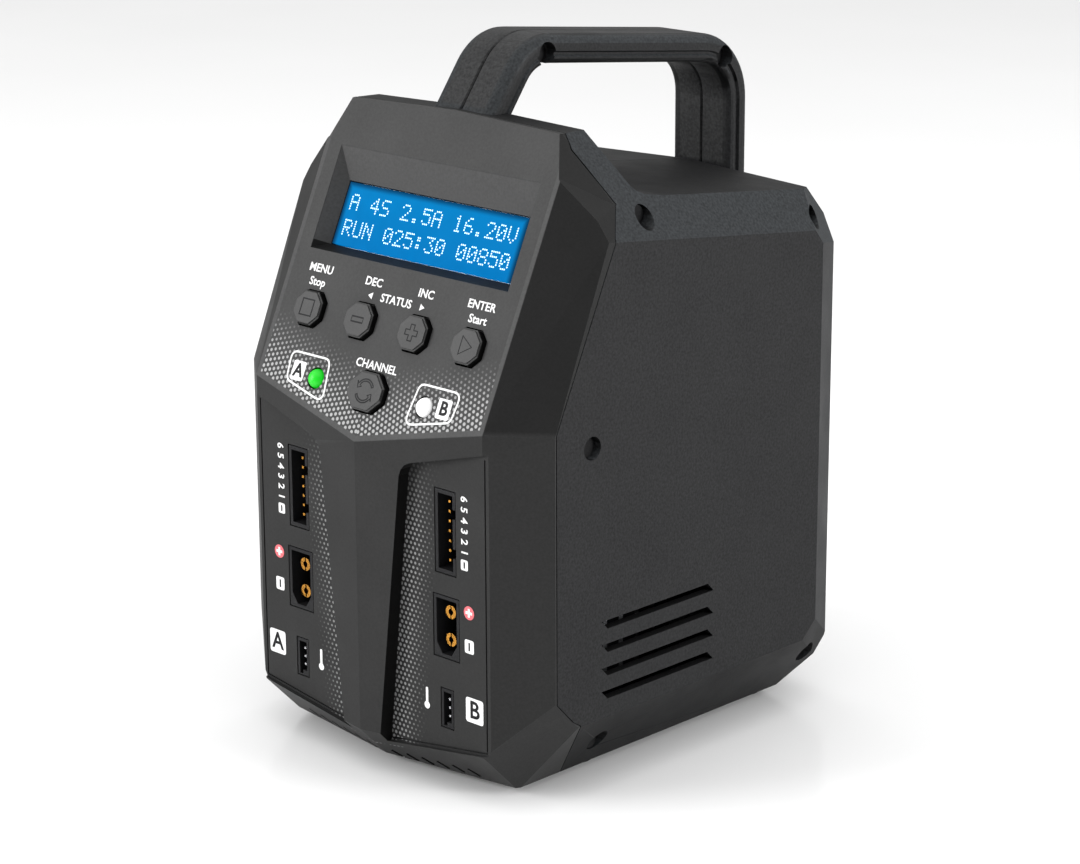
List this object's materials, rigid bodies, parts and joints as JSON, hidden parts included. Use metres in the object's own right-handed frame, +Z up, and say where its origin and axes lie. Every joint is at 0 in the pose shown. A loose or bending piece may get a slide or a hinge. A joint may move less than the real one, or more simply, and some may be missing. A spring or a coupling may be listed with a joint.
{
  "type": "balance battery charger",
  "caption": "Upright two-channel balance battery charger with sloped display panel, front battery ports, side vents, rear fan and a carrying handle.",
  "frame": {"origin": "centre of the object's footprint box, on the floor under the rubber feet", "axes": "+X to the object's right as seen from the front, front panel faces -Y, +Z up"},
  "size_m": [0.1082, 0.1354, 0.1811],
  "materials": {
    "front_plastic": "fine satin texture",
    "shell_plastic": "fine spark-eroded texture",
    "rear_plastic": "fine texture",
    "display": "backlit blue liquid crystal",
    "tin_plate": "bent sheet",
    "circuit_board": "solder resist",
    "key_plastic": "smooth matt",
    "switch_body": "moulded",
    "lamp_green": "lit, clear",
    "lamp_white": "diffuse, milky",
    "port_plastic": "moulded",
    "gold_contact": "gold flash",
    "tinned_contact": "tinned",
    "heat_sink_metal": "extruded",
    "transformer_tape": "wound tape",
    "capacitor_sleeve": "shrunk sleeve",
    "copper_winding": "enamelled wire",
    "fan_plastic": "moulded",
    "dark_screw": "black oxide",
    "foot_rubber": "moulded"
  },
  "bodies": {
    "case": {"front_housing": "front_plastic", "left_shell": "shell_plastic", "right_shell": "shell_plastic", "back_panel": "rear_plastic", "lcd_window": "display", "lcd_frame": "tin_plate", "lcd_board": "circuit_board", "control_board": "circuit_board", "tact_switches": "switch_body", "led_a": "lamp_green", "led_b": "lamp_white", "balance_socket_a": "port_plastic", "balance_socket_b": "port_plastic", "balance_pins_a": "gold_contact", "balance_pins_b": "gold_contact", "power_socket_a": "port_plastic", "power_socket_b": "port_plastic", "power_contacts_a": "gold_contact", "power_contacts_b": "gold_contact", "temp_socket_a": "port_plastic", "temp_socket_b": "port_plastic", "temp_pins_a": "tinned_contact", "temp_pins_b": "tinned_contact", "port_board": "circuit_board", "main_board": "circuit_board", "heat_sinks": "heat_sink_metal", "transformer": "transformer_tape", "capacitors": "capacitor_sleeve", "inductors": "copper_winding", "buzzer": "switch_body", "fan_frame": "fan_plastic", "fan_screws": "tinned_contact", "mains_inlet": "port_plastic", "inlet_blades": "tinned_contact", "case_screws": "dark_screw", "rubber_feet": "foot_rubber"},
    "stop_button": {"stop_button": "key_plastic"},
    "dec_button": {"dec_button": "key_plastic"},
    "inc_button": {"inc_button": "key_plastic"},
    "start_button": {"start_button": "key_plastic"},
    "channel_button": {"channel_button": "key_plastic"},
    "fan_rotor": {"fan_rotor": "fan_plastic"}
  },
  "joints": [
    {"name": "stop_button_press", "type": "slide", "parent": "case", "child": "stop_button", "axis": [0, 0.9078, -0.4195], "range_m": [0, 0.0008], "stiffness_N_per_m": 1200},
    {"name": "dec_button_press", "type": "slide", "parent": "case", "child": "dec_button", "axis": [0, 0.9078, -0.4195], "range_m": [0, 0.0008], "stiffness_N_per_m": 1200},
    {"name": "inc_button_press", "type": "slide", "parent": "case", "child": "inc_button", "axis": [0, 0.9078, -0.4195], "range_m": [0, 0.0008], "stiffness_N_per_m": 1200},
    {"name": "start_button_press", "type": "slide", "parent": "case", "child": "start_button", "axis": [0, 0.9078, -0.4195], "range_m": [0, 0.0008], "stiffness_N_per_m": 1200},
    {"name": "channel_button_press", "type": "slide", "parent": "case", "child": "channel_button", "axis": [0, 0.9078, -0.4195], "range_m": [0, 0.0008], "stiffness_N_per_m": 1200},
    {"name": "fan_spin", "type": "hinge", "parent": "case", "child": "fan_rotor", "pos_m": [0, 0.0465, 0.076], "axis": [0, 1, 0], "continuous": true}
  ]
}
